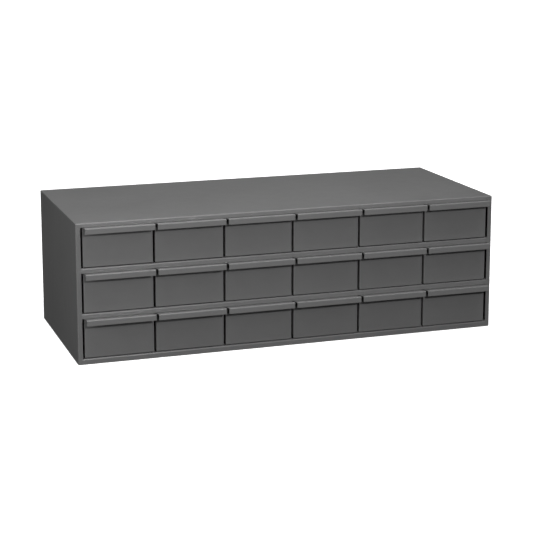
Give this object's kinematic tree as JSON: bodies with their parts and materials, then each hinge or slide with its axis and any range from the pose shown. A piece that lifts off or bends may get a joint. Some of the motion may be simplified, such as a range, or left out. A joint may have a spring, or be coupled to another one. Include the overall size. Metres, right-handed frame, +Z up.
{
  "type": "drawer cabinet",
  "caption": "Low, wide sheet-steel cabinet with rows of small sliding parts drawers, each with a full-width lip pull.",
  "frame": {"origin": "on the resting plane, midway across the width and midway between the foremost pull lip and the rear of the case", "axes": "+X to the right as the user faces the drawers, -Y towards the user, +Z up"},
  "size_m": [0.8572, 0.3774, 0.2731],
  "materials": {
    "case_paint": "satin grey enamel with a fine orange-peel texture",
    "front_paint": "satin grey enamel, edges slightly rubbed",
    "drawer_paint": "satin grey enamel, floor and sides scuffed in use"
  },
  "bodies": {
    "cabinet": {"case_shell": "case_paint", "back_panel": "case_paint", "bottom_shelf": "case_paint", "lower_shelf": "case_paint", "upper_shelf": "case_paint", "drawer_partitions": "case_paint"},
    "drawer_r1c1": {"drawer_front_r1c1": "front_paint", "drawer_tray_r1c1": "drawer_paint", "drawer_back_r1c1": "drawer_paint"},
    "drawer_r1c2": {"drawer_front_r1c2": "front_paint", "drawer_tray_r1c2": "drawer_paint", "drawer_back_r1c2": "drawer_paint"},
    "drawer_r1c3": {"drawer_front_r1c3": "front_paint", "drawer_tray_r1c3": "drawer_paint", "drawer_back_r1c3": "drawer_paint"},
    "drawer_r1c4": {"drawer_front_r1c4": "front_paint", "drawer_tray_r1c4": "drawer_paint", "drawer_back_r1c4": "drawer_paint"},
    "drawer_r1c5": {"drawer_front_r1c5": "front_paint", "drawer_tray_r1c5": "drawer_paint", "drawer_back_r1c5": "drawer_paint"},
    "drawer_r1c6": {"drawer_front_r1c6": "front_paint", "drawer_tray_r1c6": "drawer_paint", "drawer_back_r1c6": "drawer_paint"},
    "drawer_r2c1": {"drawer_front_r2c1": "front_paint", "drawer_tray_r2c1": "drawer_paint", "drawer_back_r2c1": "drawer_paint"},
    "drawer_r2c2": {"drawer_front_r2c2": "front_paint", "drawer_tray_r2c2": "drawer_paint", "drawer_back_r2c2": "drawer_paint"},
    "drawer_r2c3": {"drawer_front_r2c3": "front_paint", "drawer_tray_r2c3": "drawer_paint", "drawer_back_r2c3": "drawer_paint"},
    "drawer_r2c4": {"drawer_front_r2c4": "front_paint", "drawer_tray_r2c4": "drawer_paint", "drawer_back_r2c4": "drawer_paint"},
    "drawer_r2c5": {"drawer_front_r2c5": "front_paint", "drawer_tray_r2c5": "drawer_paint", "drawer_back_r2c5": "drawer_paint"},
    "drawer_r2c6": {"drawer_front_r2c6": "front_paint", "drawer_tray_r2c6": "drawer_paint", "drawer_back_r2c6": "drawer_paint"},
    "drawer_r3c1": {"drawer_front_r3c1": "front_paint", "drawer_tray_r3c1": "drawer_paint", "drawer_back_r3c1": "drawer_paint"},
    "drawer_r3c2": {"drawer_front_r3c2": "front_paint", "drawer_tray_r3c2": "drawer_paint", "drawer_back_r3c2": "drawer_paint"},
    "drawer_r3c3": {"drawer_front_r3c3": "front_paint", "drawer_tray_r3c3": "drawer_paint", "drawer_back_r3c3": "drawer_paint"},
    "drawer_r3c4": {"drawer_front_r3c4": "front_paint", "drawer_tray_r3c4": "drawer_paint", "drawer_back_r3c4": "drawer_paint"},
    "drawer_r3c5": {"drawer_front_r3c5": "front_paint", "drawer_tray_r3c5": "drawer_paint", "drawer_back_r3c5": "drawer_paint"},
    "drawer_r3c6": {"drawer_front_r3c6": "front_paint", "drawer_tray_r3c6": "drawer_paint", "drawer_back_r3c6": "drawer_paint"}
  },
  "joints": [
    {"name": "slide_r1c1", "type": "slide", "parent": "cabinet", "child": "drawer_r1c1", "axis": [0, -1, 0], "range_m": [0, 0.275]},
    {"name": "slide_r1c2", "type": "slide", "parent": "cabinet", "child": "drawer_r1c2", "axis": [0, -1, 0], "range_m": [0, 0.275]},
    {"name": "slide_r1c3", "type": "slide", "parent": "cabinet", "child": "drawer_r1c3", "axis": [0, -1, 0], "range_m": [0, 0.275]},
    {"name": "slide_r1c4", "type": "slide", "parent": "cabinet", "child": "drawer_r1c4", "axis": [0, -1, 0], "range_m": [0, 0.275]},
    {"name": "slide_r1c5", "type": "slide", "parent": "cabinet", "child": "drawer_r1c5", "axis": [0, -1, 0], "range_m": [0, 0.275]},
    {"name": "slide_r1c6", "type": "slide", "parent": "cabinet", "child": "drawer_r1c6", "axis": [0, -1, 0], "range_m": [0, 0.275]},
    {"name": "slide_r2c1", "type": "slide", "parent": "cabinet", "child": "drawer_r2c1", "axis": [0, -1, 0], "range_m": [0, 0.275]},
    {"name": "slide_r2c2", "type": "slide", "parent": "cabinet", "child": "drawer_r2c2", "axis": [0, -1, 0], "range_m": [0, 0.275]},
    {"name": "slide_r2c3", "type": "slide", "parent": "cabinet", "child": "drawer_r2c3", "axis": [0, -1, 0], "range_m": [0, 0.275]},
    {"name": "slide_r2c4", "type": "slide", "parent": "cabinet", "child": "drawer_r2c4", "axis": [0, -1, 0], "range_m": [0, 0.275]},
    {"name": "slide_r2c5", "type": "slide", "parent": "cabinet", "child": "drawer_r2c5", "axis": [0, -1, 0], "range_m": [0, 0.275]},
    {"name": "slide_r2c6", "type": "slide", "parent": "cabinet", "child": "drawer_r2c6", "axis": [0, -1, 0], "range_m": [0, 0.275]},
    {"name": "slide_r3c1", "type": "slide", "parent": "cabinet", "child": "drawer_r3c1", "axis": [0, -1, 0], "range_m": [0, 0.275]},
    {"name": "slide_r3c2", "type": "slide", "parent": "cabinet", "child": "drawer_r3c2", "axis": [0, -1, 0], "range_m": [0, 0.275]},
    {"name": "slide_r3c3", "type": "slide", "parent": "cabinet", "child": "drawer_r3c3", "axis": [0, -1, 0], "range_m": [0, 0.275]},
    {"name": "slide_r3c4", "type": "slide", "parent": "cabinet", "child": "drawer_r3c4", "axis": [0, -1, 0], "range_m": [0, 0.275]},
    {"name": "slide_r3c5", "type": "slide", "parent": "cabinet", "child": "drawer_r3c5", "axis": [0, -1, 0], "range_m": [0, 0.275]},
    {"name": "slide_r3c6", "type": "slide", "parent": "cabinet", "child": "drawer_r3c6", "axis": [0, -1, 0], "range_m": [0, 0.275]}
  ]
}
